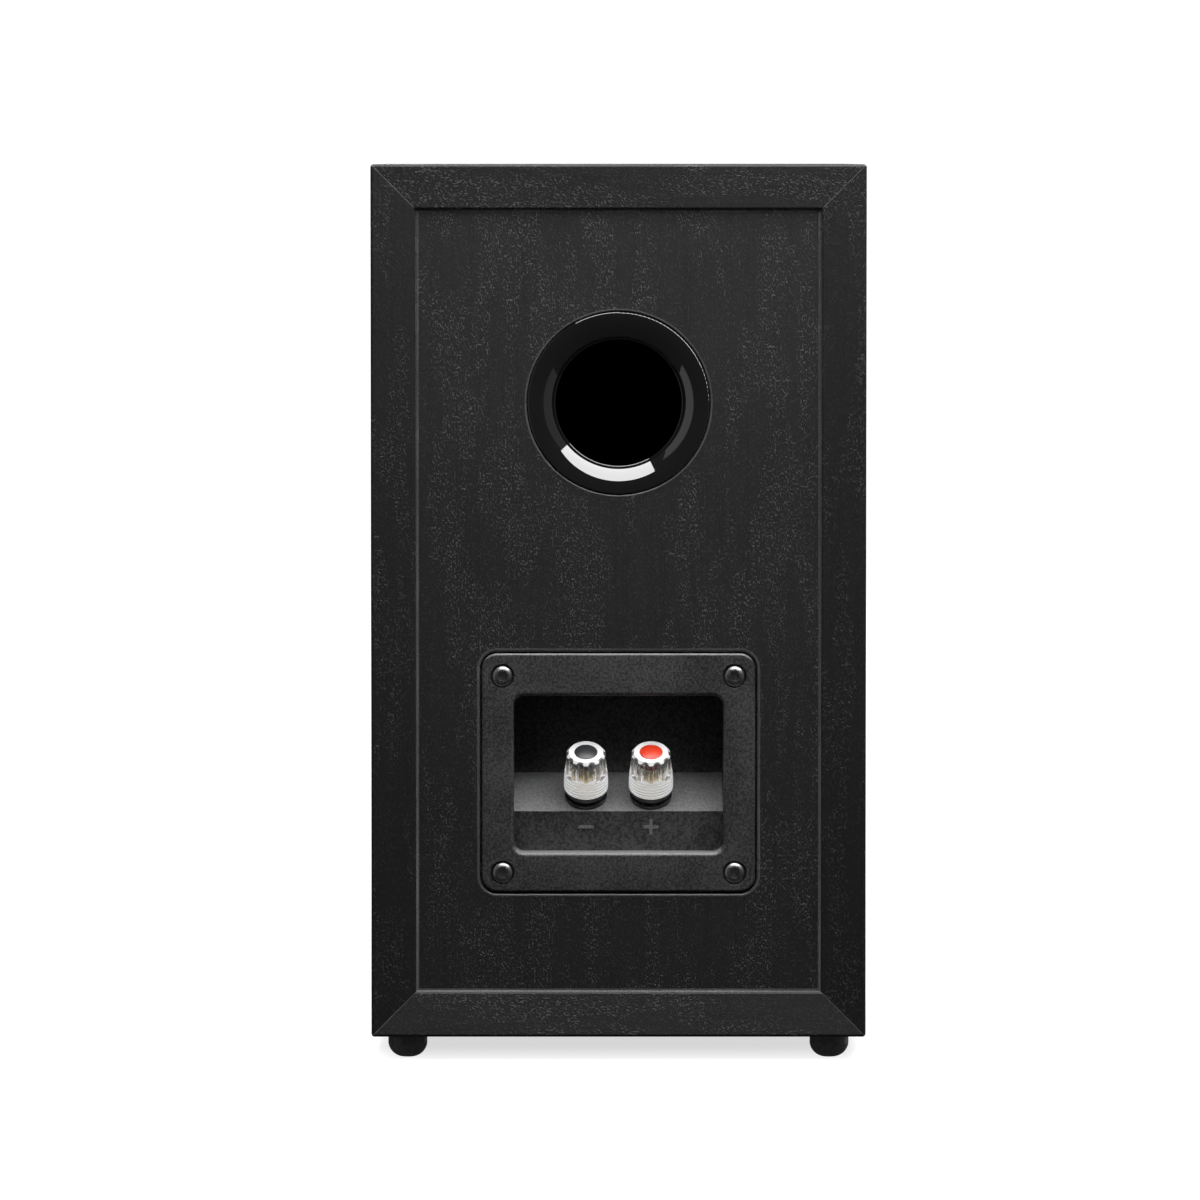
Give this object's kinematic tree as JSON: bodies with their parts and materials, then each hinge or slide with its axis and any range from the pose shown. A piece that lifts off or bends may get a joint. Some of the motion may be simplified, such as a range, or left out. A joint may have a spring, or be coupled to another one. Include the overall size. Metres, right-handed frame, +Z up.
{
  "type": "bookshelf speaker",
  "caption": "Bookshelf loudspeaker: mitred black ash box with a woofer and dome tweeter in front, a flared reflex port and a recessed binding-post cup behind.",
  "frame": {"origin": "on the shelf, under the middle of the cabinet", "axes": "+Z up, -Y out of the front baffle, +Y out of the back panel, +X to the listener's right"},
  "size_m": [0.144, 0.185, 0.261],
  "materials": {
    "ash_vinyl": "black ash grained vinyl, satin",
    "foot_rubber": "moulded rubber, satin",
    "port_gloss": "gloss black moulding",
    "cup_plastic": "fine spark-eroded texture, black",
    "gasket_foam": "closed-cell foam",
    "black_screws": "black oxide",
    "gilt_brass": "gold flashed brass",
    "collar_plastic": "black moulding",
    "nickel": "nickel plated",
    "clear_plastic": "clear polycarbonate, polished",
    "stopper_black": "soft black plug",
    "stopper_red": "soft red plug",
    "basket_paint": "black powder coat on stamped steel",
    "trim_rubber": "moulded rubber",
    "surround_rubber": "butyl rubber, satin",
    "cone_sheet": "coated pulp, black",
    "copper_wire": "enamelled copper wire",
    "spider_cloth": "resin-treated corrugated cloth",
    "motor_steel": "zinc plated",
    "ferrite": "sintered ferrite, matt grey",
    "terminal_board": "phenolic board with tinned tabs",
    "faceplate_plastic": "satin black moulding",
    "dome_cloth": "coated silk",
    "circuit_board": "green lacquered fibre board",
    "capacitor_film": "yellow taped film capacitor",
    "resistor_ceramic": "cement resistor body",
    "lead_sleeve": "insulated copper lead",
    "wadding": "loose polyester wadding"
  },
  "bodies": {
    "cabinet": {"side_panel_left": "ash_vinyl", "side_panel_right": "ash_vinyl", "top_panel": "ash_vinyl", "bottom_panel": "ash_vinyl", "back_panel": "ash_vinyl", "front_baffle": "ash_vinyl", "foot_front_left": "foot_rubber", "foot_front_right": "foot_rubber", "foot_rear_left": "foot_rubber", "foot_rear_right": "foot_rubber", "port_flare": "port_gloss", "port_tube": "port_gloss", "terminal_cup": "cup_plastic", "cup_gasket": "gasket_foam", "cup_screws": "black_screws", "negative_post_stud": "gilt_brass", "negative_post_collar": "collar_plastic", "negative_post_fixings": "nickel", "positive_post_stud": "gilt_brass", "positive_post_collar": "collar_plastic", "positive_post_fixings": "nickel", "woofer_basket": "basket_paint", "woofer_trim_ring": "trim_rubber", "woofer_surround": "surround_rubber", "woofer_spider": "spider_cloth", "woofer_top_plate": "motor_steel", "woofer_magnet": "ferrite", "woofer_yoke": "motor_steel", "woofer_screws": "black_screws", "woofer_terminals": "terminal_board", "tweeter_faceplate": "faceplate_plastic", "tweeter_surround": "dome_cloth", "tweeter_top_plate": "motor_steel", "tweeter_magnet": "ferrite", "tweeter_yoke": "motor_steel", "tweeter_screws": "black_screws", "tweeter_terminals": "terminal_board", "grille_sockets": "trim_rubber", "crossover_board": "circuit_board", "crossover_mounts": "nickel", "crossover_inductor_large": "copper_wire", "crossover_inductor_small": "copper_wire", "crossover_capacitor_large": "capacitor_film", "crossover_capacitor_small": "capacitor_film", "crossover_resistor": "resistor_ceramic", "input_leads": "lead_sleeve", "woofer_leads": "lead_sleeve", "tweeter_leads": "lead_sleeve", "damping_pads": "wadding"},
    "negative_carrier": {"negative_post_insert": "gilt_brass"},
    "negative_knob": {"negative_post_knob": "clear_plastic"},
    "negative_stopper": {"negative_post_stopper": "stopper_black"},
    "positive_carrier": {"positive_post_insert": "gilt_brass"},
    "positive_knob": {"positive_post_knob": "clear_plastic"},
    "positive_stopper": {"positive_post_stopper": "stopper_red"},
    "woofer_moving": {"woofer_cone": "cone_sheet", "woofer_dust_cap": "cone_sheet", "woofer_voice_coil": "copper_wire"},
    "tweeter_moving": {"tweeter_dome": "dome_cloth", "tweeter_voice_coil": "copper_wire"}
  },
  "joints": [
    {"name": "negative_post_lift", "type": "slide", "parent": "cabinet", "child": "negative_carrier", "axis": [0, 0.5736, 0.8192], "range_m": [0, 0.0045]},
    {"name": "negative_post_turn", "type": "hinge", "parent": "negative_carrier", "child": "negative_knob", "pos_m": [0.0095, 0.07621, 0.07599], "axis": [0, 0.5736, 0.8192], "range_deg": [0, 1620]},
    {"name": "negative_stopper_pull", "type": "slide", "parent": "negative_knob", "child": "negative_stopper", "axis": [0, 0.5736, 0.8192], "range_m": [0, 0.008]},
    {"name": "positive_post_lift", "type": "slide", "parent": "cabinet", "child": "positive_carrier", "axis": [0, 0.5736, 0.8192], "range_m": [0, 0.0045]},
    {"name": "positive_post_turn", "type": "hinge", "parent": "positive_carrier", "child": "positive_knob", "pos_m": [-0.0095, 0.07621, 0.07599], "axis": [0, 0.5736, 0.8192], "range_deg": [0, 1620]},
    {"name": "positive_stopper_pull", "type": "slide", "parent": "positive_knob", "child": "positive_stopper", "axis": [0, 0.5736, 0.8192], "range_m": [0, 0.008]},
    {"name": "woofer_stroke", "type": "slide", "parent": "cabinet", "child": "woofer_moving", "axis": [0, -1, 0], "range_m": [-0.0035, 0.0035], "stiffness_N_per_m": 900, "deforming": ["woofer_surround", "woofer_spider"]},
    {"name": "tweeter_stroke", "type": "slide", "parent": "cabinet", "child": "tweeter_moving", "axis": [0, -1, 0], "range_m": [-0.0003, 0.0003], "stiffness_N_per_m": 800, "deforming": ["tweeter_surround"]}
  ],
  "couplings": [
    {"joint": "negative_post_turn", "follows": "negative_post_lift", "rad_per_m": 6283.2},
    {"joint": "positive_post_turn", "follows": "positive_post_lift", "rad_per_m": 6283.2}
  ]
}
